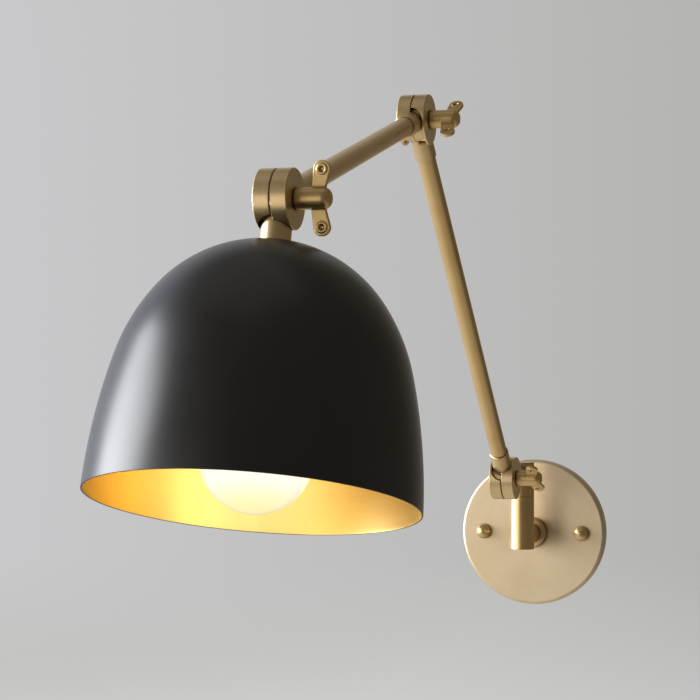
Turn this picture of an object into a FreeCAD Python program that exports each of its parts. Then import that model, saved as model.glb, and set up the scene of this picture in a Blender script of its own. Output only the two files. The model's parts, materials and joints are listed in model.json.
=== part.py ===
import FreeCAD, Part
import math
import os

# Articulating wall lamp: round wall canopy, swivelling post, two tube arms on
# clamped disc knuckles, and a spun dome shade over a screw-base bulb.
# Millimetres. The wall is the plane Y = 0, the lamp stands out towards -Y, Z is up
# and X runs along the knuckle axes. The origin is the canopy's centre on the wall.

Vector = FreeCAD.Vector
os.makedirs("parts", exist_ok=True)

# ---------------------------------------------------------------- fits and gaps
RUNNING_GAP = 0.08        # radial gap of a shaft that turns in its hole
SEATED_GAP = 0.04         # radial gap of a piece fixed in its hole
BODY_GAP = 0.4            # free gap between pieces that pass each other
THREAD_REACH = 1.0        # bore depth left past the end of a screw

# ---------------------------------------------------------------- wall canopy
CANOPY_RADIUS = 60.3
CANOPY_DEPTH = 11.0
CANOPY_WALL = 1.2
CANOPY_EDGE_ROUND = 2.4
STUD_SPACING = 82.6
STUD_RADIUS = 2.0
STUD_HOLE_RADIUS = 2.4
CAP_NUT_RADIUS = 5.8
CAP_NUT_SEAT_RADIUS = 4.4
CAP_NUT_WALL = 1.6
STRAP_WIDTH = 16.0
STRAP_THICKNESS = 1.6
STRAP_END_MARGIN = 5.0
BOX_SLOT_SPACING = 79.4
BOX_SLOT_LENGTH = 14.6
BOX_SLOT_RADIUS = 2.4
EYELET_BORE_RADIUS = 5.6
EYELET_WALL = 0.7
EYELET_FLANGE = 1.6
STUD_NUT_FLATS = 7.0
STUD_NUT_HEIGHT = 2.6
GROUND_SCREW_OFFSET = 20.0
GROUND_SCREW_RADIUS = 1.9
GROUND_HEAD_RADIUS = 4.0
GROUND_HEAD_HEIGHT = 2.2

# ---------------------------------------------------------------- stub and post
COLLAR_RADIUS = 11.9
COLLAR_LENGTH = 9.0
COLLAR_ROUND = 1.0
STUB_RADIUS = 7.6
NIPPLE_RADIUS = 5.0
NIPPLE_BORE = 3.4
NIPPLE_TAIL = 6.6         # length of the nipple behind the canopy plate
LOCKNUT_FLATS = 16.0
LOCKNUT_HEIGHT = 3.4
LOCK_WASHER_RADIUS = 9.5
LOCK_WASHER_THICKNESS = 1.0
POST_OFFSET = 54.2        # post axis from the wall
POST_RADIUS = 10.0
POST_BOTTOM = -10.1
POST_TOP = 60.7
POST_EDGE_CHAMFER = 0.4
SWIVEL_HEIGHT = 32.4      # top of the fixed part of the post
SWIVEL_WASHER_THICKNESS = 0.8
SWIVEL_WASHER_INSET = 0.15
STUB_SEAT_DEPTH = 4.0     # how far the stub enters the post
PIVOT_RADIUS = 4.5
PIVOT_BORE = 3.0
PIVOT_SEAT_DEPTH = 16.0
POST_FLOOR = 6.0
POST_CHAMBER_RADIUS = 7.2
PIVOT_NUT_FLATS = 12.0
PIVOT_NUT_HEIGHT = 4.0
POST_CAP_THICKNESS = 2.6
WIRE_BORE = 3.0

# ---------------------------------------------------------------- knuckles and arms
KNUCKLE_RADIUS = 16.6
HALF_THICKNESS = 9.4      # one knuckle half, from the seam plane to its outer face
SEAM_GAP = 0.3
KNUCKLE_EDGE_CHAMFER = 0.5
NECK_CUT_RADIUS = 14.4    # where a neck starts on the other half's side
NECK_LENGTH = 32.0        # knuckle centre to the neck's end
NECK_SOCKET_DEPTH = 14.0
NECK_EDGE_CHAMFER = 0.6
NOTCH_MARGIN_DEG = 1.5
WIRE_CHANNEL_RADIUS = 2.6
FRICTION_WASHER_RADIUS = 10.0
FRICTION_RECESS = 0.5
BOLT_RADIUS = 3.0
BOLT_HEAD_RADIUS = 6.3
BOLT_HEAD_HEIGHT = 3.0
BOLT_SLOT_WIDTH = 1.4
BOLT_SLOT_DEPTH = 1.2
TUBE_RADIUS = 6.35
TUBE_WALL = 1.2
ARM_NECK_RADIUS = 7.3
SHADE_NECK_RADIUS = 8.3
LEAD_RADIUS = 2.4
HEAD_REACH = 62.3         # post axis to the base knuckle's centre
HEAD_HEIGHT = 51.2        # base knuckle's centre above the canopy's centre
HEAD_TUBE_SEAT = 4.2      # how far the head tube enters the post
LOWER_ARM_LENGTH = 368.0
UPPER_ARM_LENGTH = 290.2
LOWER_ARM_ANGLE = 43.1    # elevations as the lamp stands, outwards from the wall
UPPER_ARM_ANGLE = -14.6
SHADE_ANGLE = -75.0

# ---------------------------------------------------------------- wing nuts
WING_RADIUS = 5.95
WING_LENGTH = 19.8
WING_DOME_ROUND = 4.6
WING_BORE_DEPTH = 14.5
BOLT_REACH = 13.0         # bolt end past the knuckle's outer face
EAR_REACH = 20.1          # ear tip from the nut's axis
EAR_CENTRE = 11.6         # ear root along the nut, from the knuckle's face
EAR_LEAN = 2.9            # how far the tip leans outwards along the nut
EAR_ROOT_HALF_WIDTH = 3.5
EAR_TIP_RADIUS = 4.8
EAR_THICKNESS = 2.2
EAR_BOSS_RADIUS = 2.9
EAR_BOSS_HEIGHT = 0.5
EAR_HOLE_RADIUS = 1.15
EAR_HOLE_DEPTH = 1.2      # from each face, with a web left between
EAR_SINK_RADIUS = 1.9

# ---------------------------------------------------------------- shade and socket
SHADE_SEAT = 25.9         # knuckle centre to the shade's flat top
SHADE_SEAT_RADIUS = 10.0
SHADE_WALL = 1.0
SHADE_HEIGHT = 138.0
CROWN_RADIUS = 74.8
CROWN_END_DEG = 54.0
SHOULDER_RADIUS = 106.0
SHOULDER_END_DEG = 75.9
SKIRT_RADIUS = 325.5
VENT_RADIUS = 2.4
VENT_CIRCLE = 23.0
VENT_COUNT = 5
FIRST_VENT_DEG = 45.0     # from +X round the shade's axis
SHADE_NUT_FLATS = 17.0
SHADE_NUT_HEIGHT = 3.4
SHADE_NIPPLE_SEAT = 10.0  # how far the nipple enters the shade's neck
SOCKET_CUP_RADIUS = 20.5
SOCKET_CUP_WALL = 0.9
SOCKET_CUP_HEIGHT = 27.0
SOCKET_CUP_ROUND = 5.0
CUP_NUT_HEIGHT = 3.4
SOCKET_BODY_TOP = 9.0     # from the cup's closed top to the body
SOCKET_BODY_HEIGHT = 44.0
SOCKET_FLOOR = 14.0
SHELL_RADIUS = 14.2
SHELL_WALL = 0.5
CONTACT_RADIUS = 3.4
CONTACT_HEIGHT = 1.2
BULB_BASE_RADIUS = 13.2
BULB_BASE_HEIGHT = 22.0
BULB_INSULATOR_HEIGHT = 2.8
BULB_INSULATOR_TOP = 5.6
BULB_TIP_RADIUS = 4.6
BULB_TIP_HEIGHT = 1.4
BULB_RADIUS = 29.8
BULB_WALL = 0.8
BULB_CENTRE = 139.0       # bulb's centre from the knuckle's centre
BULB_NECK_RADIUS = 13.6
BULB_SKIRT_LENGTH = 16.0
BULB_JOIN_DEG = 52.0      # where the flank meets the globe, from the bulb's top

# ---------------------------------------------------------------- travel, degrees
BASE_TRAVEL = (-52.0, 18.0)
ELBOW_TRAVEL = (-8.0, 58.0)
SHADE_TRAVEL = (-10.0, 53.0)
WING_TURN_BASE = 30.0     # ear's elevation from the outward direction
WING_TURN_ELBOW = 140.0
WING_TURN_SHADE = 90.0

ALONG_X = Vector(1, 0, 0)
OUTWARD = Vector(0, -1, 0)
UP = Vector(0, 0, 1)


def direction(angle):
    """Unit vector in the arm plane, at an elevation from the outward direction."""
    turn = math.radians(angle)
    return Vector(0, -math.cos(turn), math.sin(turn))


def cylinder(radius, length, start, axis):
    return Part.makeCylinder(radius, length, start, axis)


def pipe(outer, inner, length, start, axis):
    return cylinder(outer, length, start, axis).cut(cylinder(inner, length, start, axis))


def hexagon(flats, height, start, axis):
    """Hexagonal prism, measured across its flats."""
    corner = flats / math.sqrt(3)
    turns = [math.radians(60 * k) for k in range(7)]
    points = [Vector(corner * math.cos(turn), corner * math.sin(turn), 0) for turn in turns]
    prism = Part.Face(Part.makePolygon(points)).extrude(Vector(0, 0, height))
    return place(prism, start, axis)


def place(shape, start, axis):
    """Moves a shape made along +Z at the origin so that it runs along an axis from a start."""
    shape = shape.copy()
    shape.Placement = FreeCAD.Placement(start, FreeCAD.Rotation(UP, axis)).multiply(shape.Placement)
    return shape


def nut(flats, height, bore, start, axis):
    return hexagon(flats, height, start, axis).cut(cylinder(bore, height, start, axis))


def circleEdges(shape, radius, start, axis):
    """Full-circle edges of one radius that lie in the plane through a point, square to an axis."""
    found = []
    for edge in shape.Edges:
        curve = edge.Curve
        if isinstance(curve, Part.Circle) and abs(curve.Radius - radius) < 0.01:
            if abs((curve.Center - start).dot(axis)) < 0.01:
                found.append(edge)
    return found


def save(name, *shapes):
    """Writes one node; a group of like pieces is a compound of separate solids."""
    solids = []
    for shape in shapes:
        solids.extend(shape.removeSplitter().Solids)
    for solid in solids:
        if not solid.isValid() or solid.Volume <= 0:
            print("check solid in", name)
    result = solids[0] if len(solids) == 1 else Part.makeCompound(solids)
    result.exportStep("parts/" + name + ".step")


# ================================================================= places
basePoint = Vector(0, -(POST_OFFSET + HEAD_REACH), HEAD_HEIGHT)
elbowPoint = basePoint + direction(LOWER_ARM_ANGLE) * LOWER_ARM_LENGTH
shadePoint = elbowPoint + direction(UPPER_ARM_ANGLE) * UPPER_ARM_LENGTH
shadeAxis = direction(SHADE_ANGLE)
headHeight = basePoint.z


def alongShade(distance):
    return shadePoint + shadeAxis * distance


def wallPoint(x, outward, z=0.0):
    return Vector(x, -outward, z)


# ================================================================= wall canopy
def makeCanopy():
    plate = cylinder(CANOPY_RADIUS, CANOPY_DEPTH, wallPoint(0, 0), OUTWARD)
    front = wallPoint(0, CANOPY_DEPTH)
    plate = plate.makeFillet(CANOPY_EDGE_ROUND, circleEdges(plate, CANOPY_RADIUS, front, OUTWARD))
    innerRadius = CANOPY_RADIUS - CANOPY_WALL
    innerDepth = CANOPY_DEPTH - CANOPY_WALL
    hollow = cylinder(innerRadius, innerDepth, wallPoint(0, 0), OUTWARD)
    floor = wallPoint(0, innerDepth)
    innerRound = max(CANOPY_EDGE_ROUND - CANOPY_WALL, 0.3)
    hollow = hollow.makeFillet(innerRound, circleEdges(hollow, innerRadius, floor, OUTWARD))
    plate = plate.cut(hollow)
    plate = plate.cut(cylinder(NIPPLE_RADIUS + SEATED_GAP, CANOPY_DEPTH, wallPoint(0, 0), OUTWARD))
    for side in (-1, 1):
        plate = plate.cut(cylinder(STUD_HOLE_RADIUS, CANOPY_DEPTH, studPoint(side, 0), OUTWARD))
    save("canopy_plate", plate)


def studPoint(side, outward):
    return wallPoint(side * STUD_SPACING / 2, outward)


def strap(halfLength, startDepth, lengthwise):
    """Flat bar with rounded ends, centred on the canopy's axis, with the eyelet's hole."""
    halfWidth = STRAP_WIDTH / 2
    reach = halfLength - halfWidth
    bar = Part.makeBox(2 * reach, STRAP_WIDTH, STRAP_THICKNESS, Vector(-reach, -halfWidth, 0))
    for side in (-1, 1):
        bar = bar.fuse(Part.makeCylinder(halfWidth, STRAP_THICKNESS, Vector(side * reach, 0, 0)))
    bar = bar.cut(Part.makeCylinder(EYELET_BORE_RADIUS + EYELET_WALL, STRAP_THICKNESS))
    toWall = FreeCAD.Rotation(ALONG_X, 90)
    if lengthwise:
        toWall = toWall.multiply(FreeCAD.Rotation(UP, 90))
    bar.Placement = FreeCAD.Placement(wallPoint(0, startDepth), toWall)
    return bar


def makeCrossbar():
    """Two straps turn on a hollow eyelet: one takes the box screws, one carries the studs."""
    slotCentre = BOX_SLOT_SPACING / 2
    boxStrap = strap(slotCentre + BOX_SLOT_LENGTH / 2 + STRAP_END_MARGIN, 0, True)
    straight = BOX_SLOT_LENGTH - 2 * BOX_SLOT_RADIUS
    for side in (-1, 1):
        low = side * slotCentre - straight / 2
        slot = Part.makeBox(2 * BOX_SLOT_RADIUS, STRAP_THICKNESS, straight,
                            Vector(-BOX_SLOT_RADIUS, -STRAP_THICKNESS, low))
        for end in (low, low + straight):
            slot = slot.fuse(cylinder(BOX_SLOT_RADIUS, STRAP_THICKNESS, wallPoint(0, 0, end), OUTWARD))
        boxStrap = boxStrap.cut(slot)
    save("crossbar_box_strap", boxStrap)

    studStrap = strap(STUD_SPACING / 2 + STUD_RADIUS + STRAP_END_MARGIN, STRAP_THICKNESS, False)
    for side in (-1, 1):
        hole = cylinder(STUD_RADIUS + SEATED_GAP, 2 * STRAP_THICKNESS, studPoint(side, 0), OUTWARD)
        studStrap = studStrap.cut(hole)
    studStrap = studStrap.cut(cylinder(GROUND_SCREW_RADIUS + SEATED_GAP, 2 * STRAP_THICKNESS,
                                       wallPoint(GROUND_SCREW_OFFSET, 0), OUTWARD))
    save("crossbar_stud_strap", studStrap)

    outer = EYELET_BORE_RADIUS + EYELET_WALL
    stack = 2 * STRAP_THICKNESS
    eyelet = cylinder(outer - SEATED_GAP, stack, wallPoint(0, 0), OUTWARD)
    eyelet = eyelet.fuse(cylinder(outer + EYELET_FLANGE, EYELET_WALL, wallPoint(0, stack), OUTWARD))
    eyelet = eyelet.cut(cylinder(EYELET_BORE_RADIUS, stack + EYELET_WALL, wallPoint(0, 0), OUTWARD))
    save("crossbar_eyelet", eyelet)

    screw = cylinder(GROUND_SCREW_RADIUS, stack, wallPoint(GROUND_SCREW_OFFSET, 0), OUTWARD)
    head = cylinder(GROUND_HEAD_RADIUS, GROUND_HEAD_HEIGHT, wallPoint(GROUND_SCREW_OFFSET, stack), OUTWARD)
    slot = Part.makeBox(2 * GROUND_HEAD_RADIUS, GROUND_HEAD_HEIGHT / 2, STRAP_THICKNESS / 2,
                        Vector(GROUND_SCREW_OFFSET - GROUND_HEAD_RADIUS, -stack - GROUND_HEAD_HEIGHT,
                               -STRAP_THICKNESS / 4))
    save("ground_screw", screw.fuse(head).cut(slot))


def makeStuds():
    """Studs through the strap and the canopy, a setting nut behind and a ball nut in front."""
    capHeight = CAP_NUT_RADIUS + math.sqrt(CAP_NUT_RADIUS ** 2 - CAP_NUT_SEAT_RADIUS ** 2)
    studEnd = CANOPY_DEPTH + capHeight - CAP_NUT_WALL
    studs, caps, nuts = [], [], []
    for side in (-1, 1):
        studs.append(cylinder(STUD_RADIUS, studEnd - THREAD_REACH, studPoint(side, 0), OUTWARD))
        ballCentre = studPoint(side, CANOPY_DEPTH + capHeight - CAP_NUT_RADIUS)
        ball = Part.makeSphere(CAP_NUT_RADIUS, ballCentre)
        front = cylinder(2 * CAP_NUT_RADIUS, 2 * CAP_NUT_RADIUS, studPoint(side, CANOPY_DEPTH), OUTWARD)
        bore = cylinder(STUD_RADIUS + SEATED_GAP, studEnd - CANOPY_DEPTH,
                        studPoint(side, CANOPY_DEPTH), OUTWARD)
        caps.append(ball.common(front).cut(bore))
        nuts.append(nut(STUD_NUT_FLATS, STUD_NUT_HEIGHT, STUD_RADIUS + SEATED_GAP,
                        studPoint(side, 2 * STRAP_THICKNESS), OUTWARD))
    save("canopy_studs", *studs)
    save("cap_nuts", *caps)
    save("stud_nuts", *nuts)


# ================================================================= stub and post
def makeStub():
    plateBack = CANOPY_DEPTH - CANOPY_WALL
    collarFront = CANOPY_DEPTH + COLLAR_LENGTH
    stubEnd = POST_OFFSET - POST_RADIUS + STUB_SEAT_DEPTH
    seat = wallPoint(0, CANOPY_DEPTH)
    collar = cylinder(COLLAR_RADIUS, COLLAR_LENGTH, seat, OUTWARD)
    collar = collar.makeFillet(COLLAR_ROUND,
                               circleEdges(collar, COLLAR_RADIUS, wallPoint(0, collarFront), OUTWARD))
    collar = collar.cut(cylinder(NIPPLE_RADIUS + SEATED_GAP, COLLAR_LENGTH, seat, OUTWARD))
    save("canopy_collar", collar)
    save("stub_sleeve", pipe(STUB_RADIUS, NIPPLE_RADIUS + SEATED_GAP, stubEnd - collarFront,
                             wallPoint(0, collarFront), OUTWARD))
    save("wall_nipple", pipe(NIPPLE_RADIUS, NIPPLE_BORE, POST_OFFSET - plateBack + NIPPLE_TAIL,
                             wallPoint(0, plateBack - NIPPLE_TAIL), OUTWARD))
    washerStart = plateBack - LOCK_WASHER_THICKNESS
    save("nipple_washer", pipe(LOCK_WASHER_RADIUS, NIPPLE_RADIUS + SEATED_GAP, LOCK_WASHER_THICKNESS,
                               wallPoint(0, washerStart), OUTWARD))
    save("nipple_locknut", nut(LOCKNUT_FLATS, LOCKNUT_HEIGHT, NIPPLE_RADIUS + SEATED_GAP,
                               wallPoint(0, washerStart - LOCKNUT_HEIGHT), OUTWARD))


def postPoint(height):
    return wallPoint(0, POST_OFFSET, height)


def chamferedPost(bottom, top, chamferAt):
    post = cylinder(POST_RADIUS, top - bottom, postPoint(bottom), UP)
    return post.makeChamfer(POST_EDGE_CHAMFER, circleEdges(post, POST_RADIUS, postPoint(chamferAt), UP))


def makePost():
    """Fixed lower post, hollow pivot, and the turning upper post that carries the arms."""
    stubEnd = POST_OFFSET - POST_RADIUS + STUB_SEAT_DEPTH
    lower = chamferedPost(POST_BOTTOM, SWIVEL_HEIGHT, POST_BOTTOM)
    lower = lower.cut(cylinder(STUB_RADIUS + SEATED_GAP, stubEnd, wallPoint(0, 0), OUTWARD))
    lower = lower.cut(cylinder(NIPPLE_RADIUS + SEATED_GAP, POST_OFFSET, wallPoint(0, 0), OUTWARD))
    lower = lower.cut(cylinder(WIRE_BORE, SWIVEL_HEIGHT, postPoint(0), UP))
    pivotFoot = SWIVEL_HEIGHT - PIVOT_SEAT_DEPTH
    lower = lower.cut(cylinder(PIVOT_RADIUS + SEATED_GAP, PIVOT_SEAT_DEPTH, postPoint(pivotFoot), UP))
    save("post_lower", lower)

    washerTop = SWIVEL_HEIGHT + SWIVEL_WASHER_THICKNESS
    save("swivel_washer", pipe(POST_RADIUS - SWIVEL_WASHER_INSET, PIVOT_RADIUS + SEATED_GAP,
                               SWIVEL_WASHER_THICKNESS, postPoint(SWIVEL_HEIGHT), UP))
    floorTop = washerTop + POST_FLOOR
    pivotTop = floorTop + PIVOT_NUT_HEIGHT
    save("pivot_tube", pipe(PIVOT_RADIUS, PIVOT_BORE, pivotTop - pivotFoot, postPoint(pivotFoot), UP))
    save("pivot_nut", nut(PIVOT_NUT_FLATS, PIVOT_NUT_HEIGHT, PIVOT_RADIUS + SEATED_GAP,
                          postPoint(floorTop), UP))

    capBottom = POST_TOP - POST_CAP_THICKNESS
    upper = chamferedPost(washerTop, POST_TOP, POST_TOP)
    upper = upper.cut(cylinder(PIVOT_RADIUS + RUNNING_GAP, POST_FLOOR, postPoint(washerTop), UP))
    upper = upper.cut(cylinder(POST_CHAMBER_RADIUS, POST_TOP - floorTop, postPoint(floorTop), UP))
    upper = upper.cut(cylinder(TUBE_RADIUS + SEATED_GAP, POST_RADIUS, postPoint(headHeight), OUTWARD))
    save("post_upper", upper)
    capRadius = POST_CHAMBER_RADIUS - SEATED_GAP
    save("post_cap", cylinder(capRadius, POST_CAP_THICKNESS, postPoint(capBottom), UP))

    tubeStart = POST_OFFSET + POST_RADIUS - HEAD_TUBE_SEAT
    tubeEnd = POST_OFFSET + HEAD_REACH - NECK_LENGTH + NECK_SOCKET_DEPTH
    save("head_tube", pipe(TUBE_RADIUS, TUBE_RADIUS - TUBE_WALL, tubeEnd - tubeStart,
                           wallPoint(0, tubeStart, headHeight), OUTWARD))


# ================================================================= knuckles
def swingSector(radius, thickness, angleFrom, angleTo):
    """Pie slice of a disc about the X axis at the origin, between two elevations."""
    start, middle, end = (direction(angle) * radius
                          for angle in (angleFrom, (angleFrom + angleTo) / 2, angleTo))
    slab = Part.Face(Part.Wire([Part.makeLine(Vector(), start), Part.Arc(start, middle, end).toShape(),
                                Part.makeLine(end, Vector())]))
    return slab.extrude(ALONG_X * thickness)


def neckPath(radius, angleFrom, angleTo):
    """Space that a round neck sweeps over one side of the seam as it swings."""
    inner = NECK_CUT_RADIUS - BODY_GAP
    outer = KNUCKLE_RADIUS * 1.5
    path = swingSector(outer, radius, angleFrom, angleTo)
    for angle in (angleFrom, angleTo):
        path = path.fuse(cylinder(radius, outer, Vector(), direction(angle)))
    core = cylinder(inner, 4 * radius, Vector(-2 * radius, 0, 0), ALONG_X)
    return path.cut(core)


def knuckleHalf(side, neckAngle, neckRadius, neckLength, otherRadius, otherAngles):
    """One clamped disc with its round neck, centred on the seam.

    side is +1 or -1 along X; otherAngles are the limits of the facing half's neck."""
    face = Vector(side * SEAM_GAP / 2, 0, 0)
    outwards = ALONG_X * side
    disc = cylinder(KNUCKLE_RADIUS, HALF_THICKNESS - SEAM_GAP / 2, face, outwards)
    rim = circleEdges(disc, KNUCKLE_RADIUS, outwards * HALF_THICKNESS, ALONG_X)
    rim += circleEdges(disc, KNUCKLE_RADIUS, face, ALONG_X)
    disc = disc.makeChamfer(KNUCKLE_EDGE_CHAMFER, rim)
    notchRadius = otherRadius + BODY_GAP
    notch = neckPath(notchRadius, min(otherAngles) - NOTCH_MARGIN_DEG,
                     max(otherAngles) + NOTCH_MARGIN_DEG)
    if side < 0:
        notch = notch.mirror(Vector(), ALONG_X)
    disc = disc.cut(notch)

    axis = direction(neckAngle)
    neck = cylinder(neckRadius, neckLength, Vector(), axis)
    neck = neck.makeChamfer(NECK_EDGE_CHAMFER, circleEdges(neck, neckRadius, axis * neckLength, axis))
    acrossSeam = cylinder(NECK_CUT_RADIUS, 3 * HALF_THICKNESS, face, outwards * -1)
    half = disc.fuse(neck.cut(acrossSeam))

    half = half.cut(cylinder(FRICTION_WASHER_RADIUS + BODY_GAP, FRICTION_RECESS + SEAM_GAP,
                             face - outwards * SEAM_GAP, outwards))
    half = half.cut(cylinder(BOLT_RADIUS + RUNNING_GAP, HALF_THICKNESS, Vector(), outwards))
    channel = cylinder(WIRE_CHANNEL_RADIUS, neckLength - FRICTION_WASHER_RADIUS,
                       axis * FRICTION_WASHER_RADIUS, axis)
    return half.cut(channel)


def tubeSocket(neckAngle):
    """Bore at a neck's end that takes the arm tube."""
    axis = direction(neckAngle)
    start = axis * (NECK_LENGTH - NECK_SOCKET_DEPTH)
    return cylinder(TUBE_RADIUS + SEATED_GAP, NECK_SOCKET_DEPTH, start, axis)


def boltHead(radius):
    outerFace = Vector(-HALF_THICKNESS, 0, 0)
    return cylinder(radius, BOLT_HEAD_HEIGHT, outerFace, ALONG_X)


def moved(shape, point):
    shape = shape.copy()
    shape.translate(point)
    return shape


def makeKnuckle(name, point, farNode, farAngle, nearNode, nearAngle, farMoves, travel, nearNeck,
                wingAngle):
    """A clamped pivot: far half with the bolt, near half under the wing nut.

    farMoves tells which half turns with a positive joint value, and nearNeck the near
    neck's radius and length. Positive turning lowers a neck's elevation."""
    swing = [-limit for limit in travel]
    if farMoves:
        swing = list(travel)
    nearAngles = [nearAngle + turn for turn in swing]
    farAngles = [farAngle - turn for turn in swing]
    nearRadius, nearLength = nearNeck

    far = knuckleHalf(-1, farAngle, ARM_NECK_RADIUS, NECK_LENGTH, nearRadius, nearAngles)
    far = far.cut(tubeSocket(farAngle)).cut(boltHead(BOLT_HEAD_RADIUS + SEATED_GAP))
    save(farNode, moved(far, point))

    near = knuckleHalf(1, nearAngle, nearRadius, nearLength, ARM_NECK_RADIUS, farAngles)
    if nearNeck == armNeck:
        near = near.cut(tubeSocket(nearAngle))
    else:
        axis = direction(nearAngle)
        near = near.cut(cylinder(NIPPLE_RADIUS + SEATED_GAP, SHADE_NIPPLE_SEAT,
                                 axis * (nearLength - SHADE_NIPPLE_SEAT), axis))
    save(nearNode, moved(near, point))

    washer = pipe(FRICTION_WASHER_RADIUS, BOLT_RADIUS + SEATED_GAP, 2 * FRICTION_RECESS + SEAM_GAP,
                  Vector(-FRICTION_RECESS - SEAM_GAP / 2, 0, 0), ALONG_X)
    save(name + "_friction_washer", moved(washer, point))

    shank = cylinder(BOLT_RADIUS, 2 * HALF_THICKNESS + BOLT_REACH, Vector(-HALF_THICKNESS, 0, 0), ALONG_X)
    bolt = boltHead(BOLT_HEAD_RADIUS).fuse(shank)
    slot = Part.makeBox(BOLT_SLOT_DEPTH, 2 * BOLT_HEAD_RADIUS, BOLT_SLOT_WIDTH,
                        Vector(-HALF_THICKNESS, -BOLT_HEAD_RADIUS, -BOLT_SLOT_WIDTH / 2))
    save(name + "_pivot_bolt", moved(bolt.cut(slot), point))
    save(name + "_wing_nut", moved(wingNut(wingAngle), point))


# ================================================================= wing nuts
def wingEar():
    """One flat ear pointing up +Z, leaning outwards along +X, with its drilled boss."""
    tip = Vector(EAR_CENTRE + EAR_LEAN, 0, EAR_REACH - EAR_TIP_RADIUS)
    root = Vector(EAR_CENTRE, 0, 0)
    along = tip - root
    lean = math.atan2(along.x, along.z)
    spread = math.asin((EAR_TIP_RADIUS - EAR_ROOT_HALF_WIDTH) / along.Length)
    rightAngle = lean + math.pi / 2 - spread
    leftAngle = lean - math.pi / 2 + spread

    def around(centre, radius, angle):
        return centre + Vector(math.sin(angle), 0, math.cos(angle)) * radius

    rootLeft, rootRight = (around(root, EAR_ROOT_HALF_WIDTH, angle) for angle in (leftAngle, rightAngle))
    tipLeft, tipTop, tipRight = (around(tip, EAR_TIP_RADIUS, angle)
                                 for angle in (leftAngle, lean, rightAngle))
    outline = Part.Wire([
        Part.makeLine(rootLeft, tipLeft),
        Part.Arc(tipLeft, tipTop, tipRight).toShape(),
        Part.makeLine(tipRight, rootRight),
        Part.makeLine(rootRight, rootLeft)])
    halfThickness = EAR_THICKNESS / 2
    ear = moved(Part.Face(outline), Vector(0, -halfThickness, 0)).extrude(Vector(0, EAR_THICKNESS, 0))
    bossHalf = halfThickness + EAR_BOSS_HEIGHT
    across = Vector(0, 1, 0)
    ear = ear.fuse(cylinder(EAR_BOSS_RADIUS, 2 * bossHalf, tip - across * bossHalf, across))
    sinkDepth = EAR_SINK_RADIUS - EAR_HOLE_RADIUS
    for side in (-1, 1):
        inwards = across * -side
        bossFace = tip - inwards * bossHalf
        ear = ear.cut(cylinder(EAR_HOLE_RADIUS, EAR_HOLE_DEPTH, bossFace, inwards))
        ear = ear.cut(Part.makeCone(EAR_SINK_RADIUS, EAR_HOLE_RADIUS, sinkDepth, bossFace, inwards))
    return ear


def wingNut(angle):
    """Domed barrel with two ears, along +X from the knuckle's outer face; ears at an elevation."""
    barrel = cylinder(WING_RADIUS, WING_LENGTH, Vector(), ALONG_X)
    barrel = barrel.makeFillet(WING_DOME_ROUND,
                               circleEdges(barrel, WING_RADIUS, Vector(WING_LENGTH, 0, 0), ALONG_X))
    ear = wingEar()
    opposite = ear.copy()
    opposite.rotate(Vector(), ALONG_X, 180)
    wing = barrel.fuse(ear).fuse(opposite)
    wing = wing.cut(cylinder(BOLT_RADIUS + RUNNING_GAP, WING_BORE_DEPTH, Vector(), ALONG_X))
    wing.rotate(Vector(), ALONG_X, 90 - angle)
    return moved(wing, Vector(HALF_THICKNESS, 0, 0))


# ================================================================= arms
def makeArm(name, start, end):
    """Brass tube between two neck sockets, with the two-core lead inside it."""
    axis = (end - start).normalize()
    inset = NECK_LENGTH - NECK_SOCKET_DEPTH
    length = (end - start).Length - 2 * inset
    save(name + "_tube", pipe(TUBE_RADIUS, TUBE_RADIUS - TUBE_WALL, length, start + axis * inset, axis))
    save(name + "_lead", cylinder(LEAD_RADIUS, length, start + axis * inset, axis))


# ================================================================= shade and socket
def profileArc(centre, radius, fromDeg, toDeg):
    """Arc in the radius-depth plane; angles run from the shade's axis outwards."""
    def point(degrees):
        turn = math.radians(degrees)
        return Vector(centre[0] + radius * math.sin(turn), 0, centre[1] - radius * math.cos(turn))
    return Part.Arc(point(fromDeg), point((fromDeg + toDeg) / 2), point(toDeg)).toShape(), point(toDeg)


def shadeOutline(inset):
    """Edges of the dome's profile from its flat seat to the rim, moved inwards by an inset."""
    def radii(radius):
        return radius - inset
    seat = SHADE_SEAT + inset
    crownCentre = (0.0, SHADE_SEAT + math.sqrt(CROWN_RADIUS ** 2 - SHADE_SEAT_RADIUS ** 2))
    seatEdge = math.sqrt(radii(CROWN_RADIUS) ** 2 - (crownCentre[1] - seat) ** 2)
    seatDeg = math.degrees(math.asin(seatEdge / radii(CROWN_RADIUS)))
    crown, _ = profileArc(crownCentre, radii(CROWN_RADIUS), seatDeg, CROWN_END_DEG)

    def nextCentre(centre, radius, nextRadius, degrees):
        turn = math.radians(degrees)
        shift = radius - nextRadius
        return centre[0] + shift * math.sin(turn), centre[1] - shift * math.cos(turn)

    shoulderCentre = nextCentre(crownCentre, CROWN_RADIUS, SHOULDER_RADIUS, CROWN_END_DEG)
    shoulder, _ = profileArc(shoulderCentre, radii(SHOULDER_RADIUS), CROWN_END_DEG, SHOULDER_END_DEG)
    skirtCentre = nextCentre(shoulderCentre, SHOULDER_RADIUS, SKIRT_RADIUS, SHOULDER_END_DEG)
    rimDepth = SHADE_SEAT + SHADE_HEIGHT
    rimDeg = math.degrees(math.acos((skirtCentre[1] - rimDepth) / radii(SKIRT_RADIUS)))
    skirt, rim = profileArc(skirtCentre, radii(SKIRT_RADIUS), SHOULDER_END_DEG, rimDeg)
    seatLine = Part.makeLine(Vector(0, 0, seat), Vector(seatEdge, 0, seat))
    return [seatLine, crown, shoulder, skirt], rim


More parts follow.
